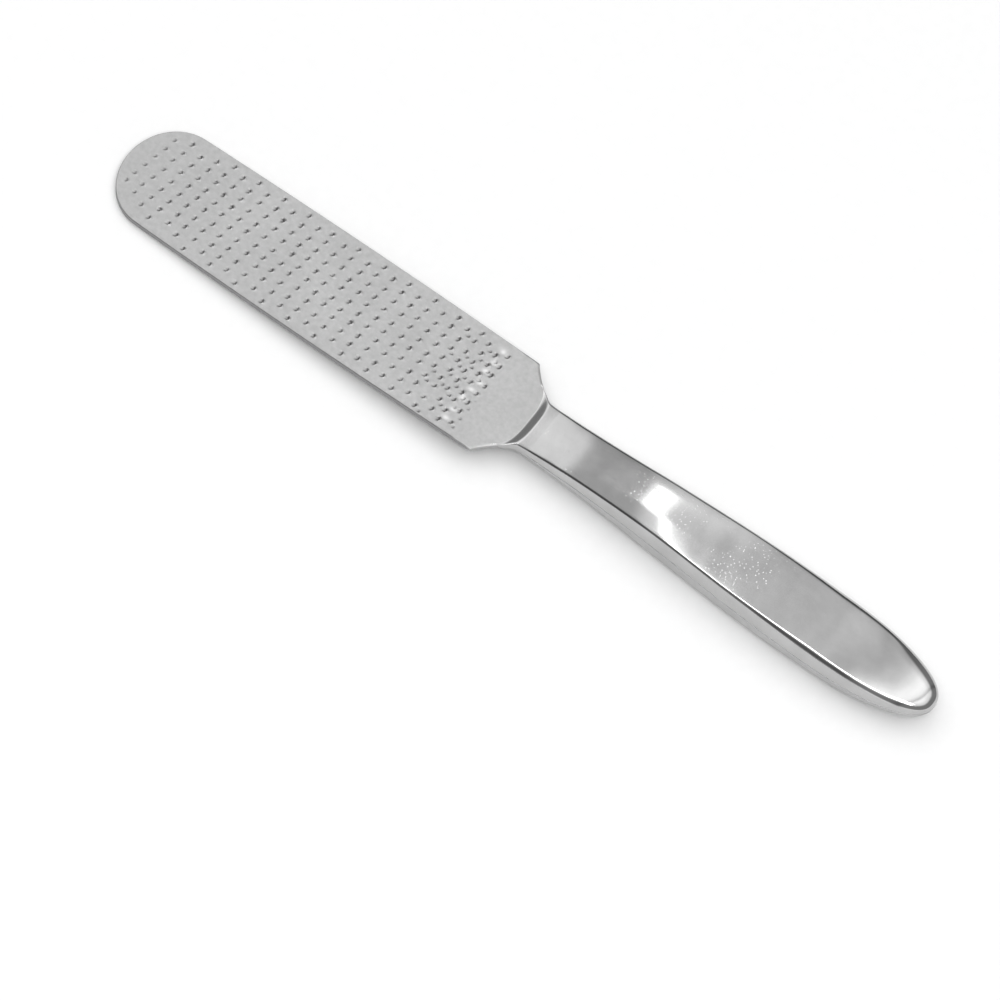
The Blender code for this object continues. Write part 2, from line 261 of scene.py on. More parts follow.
def full_half_height(at):
    """Half the handle's thickness before its faces are ground."""
    swell = smooth((at - THICKENING_FROM) / (THICKEST_AT - THICKENING_FROM))
    before = NECK_HALF_HEIGHT + (THICKEST_HALF_HEIGHT - NECK_HALF_HEIGHT) * swell
    share = (at - THICKEST_AT) / (LENGTH - THICKEST_AT)
    butt = THICKEST_HALF_HEIGHT * rounded_end(share, BUTT_SIDE_POWER)
    return np.where(at < THICKEST_AT, before, butt)


def drop(at):
    """How far the handle's middle plane lies below the blade's."""
    return NECK_DROP + (BUTT_DROP - NECK_DROP) * smooth((at - DROP_FROM) / (DROP_TO - DROP_FROM))


def ground_depths():
    """Places along the handle and how deep grinding its faces to FACE_SLOPES takes them down there."""
    at = np.linspace(MOUTH_AT, FACE_TO, 600)
    slopes = np.tan(np.interp(at / MM, *np.transpose(FACE_SLOPES)) * DEGREE)
    face = np.concatenate(((0,), np.cumsum((slopes[1:] + slopes[:-1]) / 2 * np.diff(at))))
    depth = full_half_height(at) - drop(at) - face
    return at, depth - depth.min()


GROUND_AT, GROUND_DEPTH = ground_depths()


def ground(at):
    """How far grinding has taken the handle's faces down."""
    return np.interp(at, GROUND_AT, GROUND_DEPTH) * (1 - smooth((at - FACE_TO) / (LENGTH - FACE_TO)))


def half_height(at):
    """Half the handle's thickness."""
    return full_half_height(at) - ground(at)


def flank_points(count):
    """The blade's outline from shoulder to neck, a cubic curve, as (at, half width)."""
    a = np.array((SHOULDER_AT, SHOULDER_HALF_WIDTH))
    b = np.array((SHOULDER_AT + 1.9 * MM, 0.8 * SHOULDER_HALF_WIDTH))
    c = np.array((SHOULDER_AT + 3.9 * MM, 0.63 * SHOULDER_HALF_WIDTH))
    d = np.array((FLANK_END_AT, FLANK_END_HALF_WIDTH))
    t = np.linspace(0, 1, count)[:, None]
    return a * (1 - t) ** 3 + 3 * b * (1 - t) ** 2 * t + 3 * c * (1 - t) * t**2 + d * t**3


FLANK = flank_points(41)


def side_half_width(at):
    """Half the blade's width between its tip and its shoulders."""
    middle = (TIP_DEPTH + SHOULDER_AT) / 2
    return TIP_HALF_WIDTH + BLADE_SWELL * (1 - ((at - middle) / (SHOULDER_AT - middle)) ** 2)


def grid_quads(rows, columns):
    """Faces of a grid of rows x columns vertices, numbered row by row."""
    index = np.arange(rows * columns).reshape(rows, columns)
    corners = (index[:-1, :-1], index[:-1, 1:], index[1:, 1:], index[1:, :-1])
    return np.stack(corners, -1).reshape(-1, 4)


def finish_piece(name, vertices, faces, material, node, sharp=40):
    """A mesh object with its faces turned out, that rides on the body and stands for its CAD node.
    Edges that bend by more than sharp degrees stay sharp."""
    mesh = bpy.data.meshes.new(name)
    mesh.from_pydata([tuple(v) for v in vertices], [], [tuple(int(i) for i in f) for f in faces])
    bm = bmesh.new()
    bm.from_mesh(mesh)
    bmesh.ops.dissolve_degenerate(bm, dist=1e-7, edges=bm.edges)
    bmesh.ops.recalc_face_normals(bm, faces=bm.faces)
    if bm.calc_volume(signed=True) < 0:
        bmesh.ops.reverse_faces(bm, faces=bm.faces)
    bm.to_mesh(mesh)
    bm.free()
    mesh.shade_smooth()
    mesh.set_sharp_from_angle(angle=sharp * DEGREE)
    mesh.materials.append(material)
    piece = bpy.data.objects.new(name, mesh)
    bpy.context.scene.collection.objects.link(piece)
    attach(piece, "root")
    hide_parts(node)
    return piece


# ---------------------------------------------------------------- blade


def blade_outline():
    """The blade's +Y side from the tip to the end of the tang as rows of at and half width, the width
    and depth of the bevel along each face's edge, and how much a place belongs to the flank."""
    points = [(0.0, 0.0)]
    angle = 0.0
    while True:
        step_at = TIP_DEPTH * math.sin(angle)
        run = math.hypot(step_at, TIP_HALF_WIDTH * math.cos(angle))
        angle += min(0.55 * MM / run, 0.2 * MM / max(step_at, 0.01 * MM))
        if angle >= math.pi / 2:
            break
        points.append((TIP_DEPTH * (1 - math.cos(angle)), TIP_HALF_WIDTH * math.sin(angle)))
    for at in np.arange(TIP_DEPTH, TOOTHED_TO + 0.4 * MM, OUTLINE_STEP):
        points.append((at, side_half_width(at)))
    for at in np.linspace(TOOTHED_TO + 0.6 * MM, SHOULDER_AT - SHOULDER_CORNER, 14):
        points.append((at, side_half_width(at)))
    corner = SHOULDER_AT - SHOULDER_CORNER * 0.3
    points.append((corner, side_half_width(corner) - 0.05 * MM))
    for at, flank in FLANK:
        covered = float(smooth((at - NECK_FROM - 1.2 * MM) / (0.9 * MM)))
        points.append((at, flank - FLANK_TUCK * covered))
    points.append((FLANK_END_AT + 0.3 * MM, TANG_HALF_WIDTH))
    for at in np.linspace(FLANK_END_AT + 3 * MM, TANG_END - 0.1 * MM, 5):
        points.append((at, TANG_HALF_WIDTH))
    outline = np.array(points)
    along = outline[:, 0]
    on_flank = smooth((along - SHOULDER_AT + 1.5 * MM) / (1.5 * MM)) * (along < FLANK_END_AT)
    bevel_in = BEVEL_IN + (FLANK_BEVEL_IN - BEVEL_IN) * on_flank
    bevel_down = BEVEL_DOWN + (FLANK_BEVEL_DOWN - BEVEL_DOWN) * on_flank
    return outline, bevel_in, bevel_down, on_flank


def inset(outline, distance):
    """The outline moved inwards along its normals."""
    tangent = np.gradient(outline, axis=0)
    tangent[0] = (0, 1)
    tangent /= np.linalg.norm(tangent, axis=1)[:, None]
    normal = np.stack((tangent[:, 1], -tangent[:, 0]), -1)
    moved = outline + normal * distance[:, None]
    moved[0, 1] = 0
    moved[:, 0] = np.maximum.accumulate(moved[:, 0])
    return moved


def row_places():
    """Where each row of coarse teeth crosses the middle line. The last ones stand closer."""
    places = [FIRST_ROW_AT]
    for row in range(1, TOOTH_ROWS):
        closeness = max(0.0, (row - (TOOTH_ROWS - 1 - CLOSER_ROWS)) / CLOSER_ROWS)
        places.append(places[-1] + ROW_PITCH + (LAST_ROW_PITCH - ROW_PITCH) * closeness)
    return places


def tooth_places():
    """Every coarse tooth and burr: at, y, height share, width share, turn, depth of the dish before it."""
    teeth = []
    columns = math.ceil(TIP_HALF_WIDTH / TOOTH_PITCH)
    for row, place in enumerate(row_places()):
        slant = ROW_SLANT_TIP + (ROW_SLANT_HEEL - ROW_SLANT_TIP) * row / (TOOTH_ROWS - 1)
        stagger = TOOTH_PITCH / 2 if row % 2 else 0.0
        for column in range(-columns, columns + 1):
            y = column * TOOTH_PITCH + stagger
            at = place + y * math.tan(slant)
            if at < TIP_DEPTH:
                edge = TIP_HALF_WIDTH * math.sqrt(max(1 - (1 - at / TIP_DEPTH) ** 2, 0))
            else:
                edge = side_half_width(at)
            jitter = rng.normal(0, TOOTH_SCATTER, 2)
            share = rng.uniform(0.75, 1.0)
            width = rng.uniform(0.88, 1.12)
            turn = rng.normal(0, TOOTH_TURN)
            if at < FIRST_ROW_AT - TOOTH_MARGIN or abs(y) > edge - TOOTH_MARGIN:
                continue
            share *= 0.4 + 0.6 * float(smooth((at - 3 * MM) / (12 * MM)))
            dish = DISH_DEPTH if row == TOOTH_ROWS - 1 else 0.0
            teeth.append((at + jitter[0], y + jitter[1], share, width, turn, dish))
            shift = rng.normal(0, BURR_SCATTER, 2)
            if rng.uniform() < BURR_SHARE and row >= TOOTH_ROWS - BURR_ROWS:
                burr = (at + BURR_BEHIND + shift[0], y - BURR_ASIDE + shift[1])
                teeth.append((*burr, 0.55 * share, 0.75 * width, turn - 0.3, 0.0))
    return teeth


def coarse_face(at, y):
    """Height of the coarse face over the blade's flat, and its painted light for the colour: up to 1 of
    painted shade in a pit, down to -1 of painted highlight in a dish. In a tooth's own frame a and b
    run along and across it in millimetres, and its cutting wall lies at a = wall."""
    height = np.zeros_like(at)
    shade = np.zeros_like(at)
    for tooth_at, tooth_y, share, width, turn, dish in tooth_places():
        rows = np.where((at.max(1) > tooth_at - 3 * MM) & (at.min(1) < tooth_at + 1.4 * MM))[0]
        part = slice(rows[0], rows[-1] + 1)
        along = at[part] - tooth_at
        across = y[part] - tooth_y
        a = (along * math.cos(turn) + across * math.sin(turn)) / MM
        b = (across * math.cos(turn) - along * math.sin(turn)) / MM / width
        wall = 0.2 - 0.7 * np.abs(b)
        inside = 1 - smooth((np.abs(b) - 0.32) / 0.22)
        floor = smooth((a + 0.95) / (wall + 0.95)) ** 1.6
        hole = floor * (1 - smooth((a - wall) / 0.2)) * inside
        lip = smooth((a - wall + 0.1) / 0.25) * (1 - smooth((a - wall - 0.12) / 0.55))
        lip = lip * (1 - smooth((np.abs(b) - 0.25) / 0.4))
        height[part] += TOOTH_HEIGHT * share * lip - PIT_DEPTH * share * hole
        hollow = np.exp(-(((a + 1.5) / 0.72) ** 2) - (b / 0.62) ** 2)
        height[part] -= dish * hollow
        # painted shade in the pit, deepest at its far end where its walls would shadow it
        shade[part] += hole**1.5 * (0.5 + 0.5 * share)
        # a painted highlight in the shallow dish before the last row
        if dish > 0:
            shade[part] -= hollow
    fade = 1 - smooth((at - TOOTHED_TO + 0.8 * MM) / (0.8 * MM))
    return height * fade, np.clip(shade, -1, 1) * fade


def fine_face(at, y):
    """Height of the fine face over the blade's lower flat, 0 or less, and its depth in a cut as a share,
    which the blade's colour uses as painted shade in the cuts."""
    along = at / MM
    across = y / MM
    drift = 0.5 * np.sin(along * 0.21 + 0.7) + 0.35 * np.sin(along * 0.093 + 2.1)
    wave = np.sin(2 * math.pi * (across * MM / CUT_WAVE_LENGTH + along / 34 + 0.16 * drift))
    settle = 1 - 0.6 * smooth((at - 70 * MM) / (14 * MM))
    wander = 0.06 * np.sin(across * 2.3 + along * 0.9) + 0.04 * np.sin(across * 5.1 - along * 1.7)
    moved = at - y * math.tan(CUT_SLANT) * settle + CUT_WAVE * wave * settle + wander * MM
    phase = np.mod(moved / CUT_PITCH, 1.0)
    wall = 1 - smooth(phase / 0.24)
    slope = smooth((phase - 0.24) / 0.7)
    cut = 1 - np.maximum(wall, slope)
    patch = 0.72 + 0.28 * np.sin(2 * math.pi * (across * MM / CUT_WAVE_LENGTH + along / 34 + 0.2))
    fade = smooth((at - 1.2 * MM) / (1.2 * MM))
    fade = fade * (1 - smooth((at - TOOTHED_TO + 0.3 * MM) / (0.4 * MM)))
    return -CUT_DEPTH * cut * patch * fade, cut * fade


def rasp_blade(material):
    """The blade: a grid for each face, a bevelled ring round its edge, and the end of the tang. Its
    vertices are the coarse face, the fine face, the tip's two points, and the upper and lower ring."""
    outline, bevel_in, bevel_down, on_flank = blade_outline()
    inner = inset(outline, bevel_in)
    grids = []
    for columns, side, face in ((TOP_COLUMNS, 1, coarse_face), (LOW_COLUMNS, -1, fine_face)):
        at = np.repeat(inner[1:, 0][:, None], columns, 1)
        y = inner[1:, 1][:, None] * np.linspace(-1, 1, columns)[None, :]
        height, shade = face(at, y)
        height = height - NECK_BED_DEPTH * smooth((at - NECK_FROM - 3 * MM) / MM)
        on_heel = smooth((at - TOOTHED_TO) / (2 * MM))
        height -= HEEL_CROWN * on_heel * (np.abs(y) / TIP_HALF_WIDTH) ** 3
        z = BLADE_Z + side * (BLADE_HALF_THICKNESS + height)
        grids.append((np.stack((at + TIP_X, y, z), -1).reshape(-1, 3), shade.reshape(-1)))
    (top, top_shade), (low, cut_shade) = grids
    rows = len(inner) - 1
    top_z = BLADE_Z + BLADE_HALF_THICKNESS
    low_z = BLADE_Z - BLADE_HALF_THICKNESS
    poles = [(inner[0, 0] + TIP_X, 0, top_z), (inner[0, 0] + TIP_X, 0, low_z)]
    ring_x = np.concatenate((outline[:0:-1, 0], outline[:, 0])) + TIP_X
    ring_y = np.concatenate((outline[:0:-1, 1], -outline[:, 1]))
    ring_down = np.concatenate((bevel_down[:0:-1], bevel_down))
    upper_ring = np.stack((ring_x, ring_y, top_z - ring_down), -1)
    lower_ring = np.stack((ring_x, ring_y, low_z + ring_down), -1)
    around = len(ring_x)
    vertices = np.concatenate((top, low, poles, upper_ring, lower_ring))
    top_pole = len(top) + len(low)
    upper = [top_pole + 2 + i for i in range(around)]
    lower = [i + around for i in upper]
    faces = []
    edges = []
    for first, columns, pole in ((0, TOP_COLUMNS, top_pole), (len(top), LOW_COLUMNS, top_pole + 1)):
        index = first + np.arange(rows * columns).reshape(rows, columns)
        faces.extend(grid_quads(rows, columns) + first)
        for j in range(columns - 1):
            faces.append((pole, index[0, j + 1], index[0, j]))
        edges.append(list(index[::-1, -1]) + [pole] + list(index[:, 0]))
        edges.append(list(index[-1, :]))
    top_edge, top_end, low_edge, low_end = edges
    for one, two in ((top_edge, upper), (upper, lower), (lower, low_edge)):
        for i in range(around - 1):
            faces.append((one[i], one[i + 1], two[i + 1], two[i]))
    faces.append(top_end + [upper[0], lower[0]] + low_end[::-1] + [lower[-1], upper[-1]])
    piece = finish_piece("rasp_blade_steel", vertices, faces, material, "rasp_blade", 38)
    # painted shade in the coarse face's pits, and painted highlight in its dishes
    painted_pit_shade_and_dish_light = np.zeros(len(vertices))
    painted_pit_shade_and_dish_light[: len(top)] = top_shade
    # painted shade in the fine face's cuts, by their depth
    painted_cut_shade = np.zeros(len(vertices))
    painted_cut_shade[len(top) : top_pole] = cut_shade
    # painted shade on the ring round the blade's edge, except along the flanks
    edge = np.zeros(len(vertices))
    edge[top_pole + 2 :] = np.tile(1 - np.concatenate((on_flank[:0:-1], on_flank)), 2)
    for name, values in (("painted_pit_shade_and_dish_light", painted_pit_shade_and_dish_light), ("painted_cut_shade", painted_cut_shade), ("edge", edge)):
        layer = piece.data.attributes.new(name, "FLOAT", "POINT")
        layer.data.foreach_set("value", values.astype(np.float32))


# ---------------------------------------------------------------- handle


def arch(width, height, rim, crown_share=CROWN_SHARE):
    """One side of a section above its edge, from +width over the crown to -width, as arrays y and z: a
    wall that leans in, and a rim and a crown that meet without a corner."""
    crown = height * crown_share
    rim = min(rim, 0.45 * height, 0.45 * width)
    lean = WALL_BULGE * min(1.0, height / THICKEST_HALF_HEIGHT, width / WIDEST_HALF_WIDTH)
    flat = width - lean - rim
    slope = math.atan2(2 * crown, max(flat, 1e-6))
    rim_top = height - crown
    centre_z = rim_top - rim * math.cos(slope)
    flat = flat + rim * math.sin(slope)
    wall_t = np.linspace(0, 1, 9)[:-1]
    wall_y = width - lean * wall_t**2
    wall_z = centre_z * wall_t
    turn = np.linspace(0, math.pi / 2 - slope, 15)[:-1]
    rim_y = width - lean - rim + rim * np.cos(turn)
    rim_z = centre_z + rim * np.sin(turn)
    share = np.linspace(1, 0, 25)
    crown_y = flat * share
    crown_z = height - crown * share**2
    half_y = np.concatenate((wall_y, rim_y, crown_y))
    half_z = np.concatenate((wall_z, rim_z, crown_z))
    return np.concatenate((half_y, -half_y[-2::-1])), np.concatenate((half_z, half_z[-2::-1]))


def rounded_off(y, z, width, height, share):
    """The side of a section from arch, taken part of the way to a soft oval."""
    oval = height * (1 - np.clip(np.abs(y) / width, 0, 1) ** OVAL_POWER) ** (1 / OVAL_POWER)
    return z + (oval - z) * share


def butt_stations(start, end, count):
    """Places along the handle that crowd together towards the butt."""
    return start + (end - start) * np.sin(np.linspace(0, math.pi / 2, count))


def polish(at, y):
    """How far hand polishing has taken the surface down at one place along the handle: slow waves, and
    the bends between the ground slopes laid at a slant."""
    along = at / MM
    across = y / MM
    waves = (
        0.55 * np.sin(along * 0.31 + 0.12 * across + 0.4)
        + 0.3 * np.sin(along * 0.62 + 0.2 * across + 1.9)
        + 0.15 * np.sin(along * 1.1 + 0.3 * across + 0.3)
    )
    inside = smooth((at - 112 * MM) / (6 * MM)) * (1 - smooth((at - 190 * MM) / (8 * MM)))
    slanted = smooth((at - 112 * MM) / (10 * MM)) * (1 - smooth((at - 150 * MM) / (20 * MM)))
    bend = ground(at + BEND_SLANT * y) - ground(at)
    return POLISH_WAVE * (0.5 + 0.5 * waves) * inside + bend * slanted


def handle_shell(name, side, node, material):
    """One half of the hollow handle, side 1 above and -1 below. Each station is a closed ring of
    vertices, its outside from +Y to -Y and its inside back again."""
    stations = butt_stations(MOUTH_AT, LENGTH, 170)
    inner_end = LENGTH - 1.2 * MM
    vertices = []
    for at in stations:
        middle = BLADE_Z - float(drop(at))
        width = max(float(half_width(at)), 0.02 * MM)
        height = max(float(half_height(at)) - SEAM_HALF_HEIGHT, 0.02 * MM)
        rounder = float(smooth((at - BUTT_RIM_FROM) / (BUTT_RIM_TO - BUTT_RIM_FROM)))
        rim = RIM_RADIUS + (BUTT_RIM_RADIUS - RIM_RADIUS) * rounder
        crowned = float(smooth((at - WIDEST_AT) / (24 * MM)))
        crown = CROWN_SHARE + (BUTT_CROWN_SHARE - CROWN_SHARE) * crowned
        y, z = arch(width, height, rim, crown)
        oval = OVAL_SHARE * float(smooth((at - OVAL_FROM) / (LENGTH - 2 * MM - OVAL_FROM)))
        z = rounded_off(y, z, width, height, oval)
        worn = polish(at, y) * smooth(z / height * 2 - 1)
        z = middle + side * (SEAM_HALF_HEIGHT + z - worn)
        vertices.append(np.stack((np.full_like(y, at + TIP_X), y, z), -1))
        inside_at = MOUTH_AT + (at - MOUTH_AT) * (inner_end - MOUTH_AT) / (LENGTH - MOUTH_AT)
        middle = BLADE_Z - float(drop(inside_at))
        width = max(float(half_width(at)) - WALL, 0.01 * MM)
        height = max(float(half_height(at)) - WALL, 0.01 * MM)
        y, z = arch(width, height, rim - 0.4 * MM, crown)
        z = rounded_off(y, z, width, height, oval)
        z = middle + side * (SEAM_HALF_HEIGHT + np.minimum(z, height))
        vertices.append(np.stack((np.full_like(y, inside_at + TIP_X), y, z), -1)[::-1])
    count = len(y)
    vertices = np.concatenate(vertices)
    ring = 2 * count
    faces = []
    for i in range(len(stations) - 1):
        a = i * ring
        b = a + ring
        for j in range(ring):
            k = (j + 1) % ring
            faces.append((a + j, a + k, b + k, b + j))
    for start in (0, (len(stations) - 1) * ring):
        for j in range(count - 1):
            far = ring - 1 - j
            faces.append((start + j, start + j + 1, start + far - 1, start + far))
    finish_piece(name, vertices, faces, material, node)


def seam(material):
    """The weld line between the half shells, ground just under their surface."""
    at = butt_stations(MOUTH_AT, LENGTH, 150)
    outer = np.stack((at, half_width(at)), -1)
    outer[-1, 1] = 0
    path = np.concatenate((outer, outer[-2::-1] * (1, -1)))
    tangent = np.gradient(path, axis=0)
    tangent /= np.linalg.norm(tangent, axis=1)[:, None]
    normal = np.stack((-tangent[:, 1], tangent[:, 0]), -1)
    inwards = np.where((normal * (path - (160 * MM, 0))).sum(1) > 0, -1, 1)[:, None] * normal
    middle = BLADE_Z - drop(path[:, 0])
    rows = []
    for depth, sides in ((SEAM_RECESS, (1, -1)), (SEAM_DEPTH, (-1, 1))):
        line = path + inwards * depth
        for side in sides:
            z = middle + side * SEAM_HALF_HEIGHT
            rows.append(np.stack((line[:, 0] + TIP_X, line[:, 1], z), -1))
    count = len(path)
    vertices = np.concatenate(rows)
    faces = []
    for j in range(4):
        a = j * count
        b = ((j + 1) % 4) * count
        for i in range(count - 1):
            faces.append((a + i, a + i + 1, b + i + 1, b + i))
    for i in (0, count - 1):
        faces.append((i, count + i, 2 * count + i, 3 * count + i))
    finish_piece("seam_weld_line", vertices, faces, material, "seam_weld")


# ---------------------------------------------------------------- neck


def neck_half_width(at):
    """Half the width of the neck, which starts just inside the blade's flank and then covers it."""
    flank = np.interp(at, FLANK[:, 0], FLANK[:, 1])
    blend = smooth((at - FLANK_END_AT + 2 * MM) / (MOUTH_AT - FLANK_END_AT + 2 * MM))
    width = flank + (NECK_HALF_WIDTH - flank) * blend + 0.03 * MM * (1 - blend)
    return width - NECK_START_INSET * (1 - smooth((at - NECK_FROM) / (2 * MM)))


def hermite(share, start, end, start_slope, end_slope):
    """A cubic step with given slopes at both ends."""
    a = 2 * share**3 - 3 * share**2 + 1
    b = share**3 - 2 * share**2 + share
    c = share**3 - share**2
    return a * start + (1 - a) * end + b * start_slope + c * end_slope


def neck_fillet(material):
    """The ground weld between blade and handle: it grows out of the blade's flanks, and a crease that
    bows towards the handle parts it from each face of the blade."""
    stations = np.linspace(NECK_FROM, MOUTH_AT, 64)
    run = MOUTH_AT - NECK_FROM
    end_height = float(half_height(MOUTH_AT))
    end_rise = float(half_height(MOUTH_AT + 0.1 * MM) - end_height) / (0.1 * MM) * run
    end_drop = float(drop(MOUTH_AT))
    end_fall = float(drop(MOUTH_AT + 0.1 * MM) - end_drop) / (0.1 * MM) * run
    foot = BLADE_HALF_THICKNESS - CREASE_FOOT
    rings = []
    for at in stations:
        share = float((at - NECK_FROM) / run)
        middle = BLADE_Z - hermite(share, 0.0, end_drop, 0.0, end_fall)
        height = hermite(share, foot, end_height, NECK_WEDGE, end_rise)
        width = float(neck_half_width(at))
        rim = NECK_START_RIM + (RIM_RADIUS - NECK_START_RIM) * float(smooth(share * 1.1))
        ring = []
        for side in (1, -1):
            y, z = arch(width, height - SEAM_HALF_HEIGHT, rim)
            z = z + SEAM_HALF_HEIGHT
            crease = CREASE_AT - CREASE_BOW * np.abs(y / CREASE_HALF_SPAN) ** 3
            risen = smooth((at - crease) / CREASE_RUN)
            level = middle + side * z
            base = BLADE_Z + side * foot
            over = side * (level - base)
            level = np.where(over > 0, base + side * over * risen, level)
            line = np.stack((np.full_like(y, at + TIP_X), y, level), -1)
            ring.append(line if side == 1 else line[-2:0:-1])
        rings.append(np.concatenate(ring))
    count = len(rings[0])
    vertices = np.concatenate(rings)
    faces = []
    for i in range(len(rings) - 1):
        for j in range(count):
            k = (j + 1) % count
            a = i * count
            faces.append((a + j, a + k, a + count + k, a + count + j))
    faces.append(tuple(range(count)))
    faces.append(tuple(range(len(vertices) - count, len(vertices))))
    finish_piece("neck_weld_fillet", vertices, faces, material, "neck_weld")


# ---------------------------------------------------------------- materials


def fill_ramp(ramp, stops):
    """Gives a new colour ramp its stops, as (position, colour)."""
    ramp.elements[0].position, ramp.elements[0].color = stops[0]
    ramp.elements[1].position, ramp.elements[1].color = stops[-1]
    for position, colour in stops[1:-1]:
        ramp.elements.new(position).color = colour


class Nodes:
    """A short way to write a material's node tree."""

    def __init__(self, name):
        self.material = bpy.data.materials.new(name)
        self.material.use_nodes = True
        self.tree = self.material.node_tree
        self.shader = self.tree.nodes["Principled BSDF"]

    def link(self, a, b):
        self.tree.links.new(a, b)

    def node(self, kind, inputs=(), **settings):
        """A new node, with its input sockets linked or filled and its settings set."""
        node = self.tree.nodes.new(kind)
        for key, value in settings.items():
            setattr(node, key, value)
        for key, value in dict(inputs).items():
            if isinstance(value, bpy.types.NodeSocket):
                self.link(value, node.inputs[key])
            else:
                node.inputs[key].default_value = value
        return node

    def place(self, scale=(1, 1, 1)):
        """Object coordinates, stretched."""
        vector = self.node("ShaderNodeTexCoord").outputs["Object"]
        mapping = self.node("ShaderNodeMapping", {"Vector": vector, "Scale": scale})
        return mapping.outputs["Vector"]

    def noise(self, scale, stretch=(1, 1, 1), detail=4.0, roughness=0.55):
        node = self.node(
            "ShaderNodeTexNoise",
            {
                "Vector": self.place(stretch),
                "Scale": scale,
                "Detail": detail,
                "Roughness": roughness,
            },
        )
        return node.outputs["Fac"]

    def remap(self, value, low, high, to_low, to_high):
        node = self.node(
            "ShaderNodeMapRange",
            {
                "Value": value,
                "From Min": low,
                "From Max": high,
                "To Min": to_low,
                "To Max": to_high,
            },
        )
        return node.outputs["Result"]

    def math(self, operation, a, b):
        return self.node("ShaderNodeMath", {0: a, 1: b}, operation=operation).outputs["Value"]

    def mix(self, share, dark, light):
        inputs = {"Factor": share, "A": dark, "B": light}
        return self.node("ShaderNodeMix", inputs, data_type="RGBA").outputs["Result"]

    def colours(self, share, *stops):
        node = self.node("ShaderNodeValToRGB", {"Fac": share})
        fill_ramp(node.color_ramp, stops)
        return node.outputs["Color"]

    def attribute(self, name):
        return self.node("ShaderNodeAttribute", attribute_name=name).outputs["Fac"]

    def bump(self, height, distance, strength=1.0, normal=None):
        inputs = {"Height": height, "Distance": distance, "Strength": strength}
        if normal is not None:
            inputs["Normal"] = normal
        return self.node("ShaderNodeBump", inputs).outputs["Normal"]


def grey(value, warm=0.0):
    """An opaque grey, made warmer by a share."""
    return (value * (1 + warm), value, value * (1 - warm), 1)


def blade_steel():
    """Satin steel, with painted shade in the pits, the fine cuts and along the edge, and a painted
    highlight in the dishes.
    """
    n = Nodes("satin_blade_steel")
    mottle = n.noise(900, detail=5)
    grind = n.noise(1, stretch=(900, 9000, 9000), detail=6, roughness=0.7)
    cloud = n.noise(90, detail=3)
    base = n.colours(mottle, (0.3, grey(0.39)), (0.7, grey(0.455)))
    # painted shade in the pits of the coarse teeth
    base = n.mix(n.attribute("painted_pit_shade_and_dish_light"), base, grey(0.1, 0.01))
    # painted highlight in the shallow dishes, where the pit attribute falls below 0
    base = n.mix(n.math("MULTIPLY", n.attribute("painted_pit_shade_and_dish_light"), -1.0), base, grey(0.68))
    # painted shade in the fine cuts
    base = n.mix(n.attribute("painted_cut_shade"), base, grey(0.2, 0.005))
    # painted shade along the blade's edge
    base = n.mix(n.math("MULTIPLY", n.attribute("edge"), 0.6), base, grey(0.2))
    n.link(base, n.shader.inputs["Base Color"])
    rough = n.remap(grind, 0.3, 0.7, 0.36, 0.48)
    rough = n.math("ADD", rough, n.remap(cloud, 0.3, 0.7, -0.03, 0.05))
    n.link(rough, n.shader.inputs["Roughness"])
    fine = n.bump(grind, 0.00002, 0.35)
    n.link(n.bump(mottle, 0.00004, 0.2, fine), n.shader.inputs["Normal"])
    n.shader.inputs["Metallic"].default_value = 1.0
    return n.material


def polished_steel(name, low, high, scratch):
    """Bright steel with a roughness from low to high, lengthwise scratches, slow waves and specks."""
    n = Nodes(name)
    along = n.noise(1, stretch=(260, 7000, 7000), detail=6, roughness=0.7)
    cloud = n.noise(140, detail=4)
    speck = n.node("ShaderNodeTexVoronoi", {"Vector": n.place(), "Scale": 1500.0})
    dots = n.remap(speck.outputs["Distance"], 0.0, 0.22, 1.0, 0.0)
    patch = n.remap(n.noise(60, detail=3), 0.5, 0.62, 0.0, 1.0)
    spots = n.math("MULTIPLY", dots, patch)
    base = n.colours(cloud, (0.3, grey(0.46)), (0.7, grey(0.53)))
    base = n.mix(spots, base, grey(0.66))
    n.link(base, n.shader.inputs["Base Color"])
    rough = n.remap(along, 0.3, 0.7, low, high)
    rough = n.math("ADD", rough, n.remap(cloud, 0.35, 0.7, 0.0, 0.01))
    rough = n.math("ADD", rough, n.math("MULTIPLY", spots, 0.15))
    n.link(rough, n.shader.inputs["Roughness"])
    lines = n.bump(along, 0.00001, scratch)
    waves = n.bump(n.noise(160, detail=1), 0.00005, 0.05, lines)
    n.link(n.bump(spots, 0.00004, 0.45, waves), n.shader.inputs["Normal"])
    n.shader.inputs["Metallic"].default_value = 1.0
    return n.material


def seam_steel():
    """Duller, darker steel for the ground weld line round the handle's edge."""
    n = Nodes("ground_seam_steel")
    grain = n.noise(2500, detail=5)
    base = n.colours(grain, (0.3, grey(0.3)), (0.7, grey(0.46)))
    n.link(base, n.shader.inputs["Base Color"])
    n.link(n.remap(grain, 0.3, 0.7, 0.3, 0.5), n.shader.inputs["Roughness"])
    n.link(n.bump(grain, 0.00003, 0.5), n.shader.inputs["Normal"])
    n.shader.inputs["Metallic"].default_value = 1.0
    return n.material


def filler_resin():
    """Dull brown-grey resin for the plug inside the neck."""
    n = Nodes("cast_filler_resin")
    grain = n.noise(1800, detail=5)
    cloud = n.noise(300, detail=3)
    base = n.colours(cloud, (0.3, grey(0.2, 0.05)), (0.7, grey(0.34, 0.04)))
    n.link(base, n.shader.inputs["Base Color"])
    n.link(n.remap(grain, 0.3, 0.7, 0.6, 0.85), n.shader.inputs["Roughness"])
    n.link(n.bump(grain, 0.0001, 0.5), n.shader.inputs["Normal"])
    return n.material


# ---------------------------------------------------------------- floor, light and camera


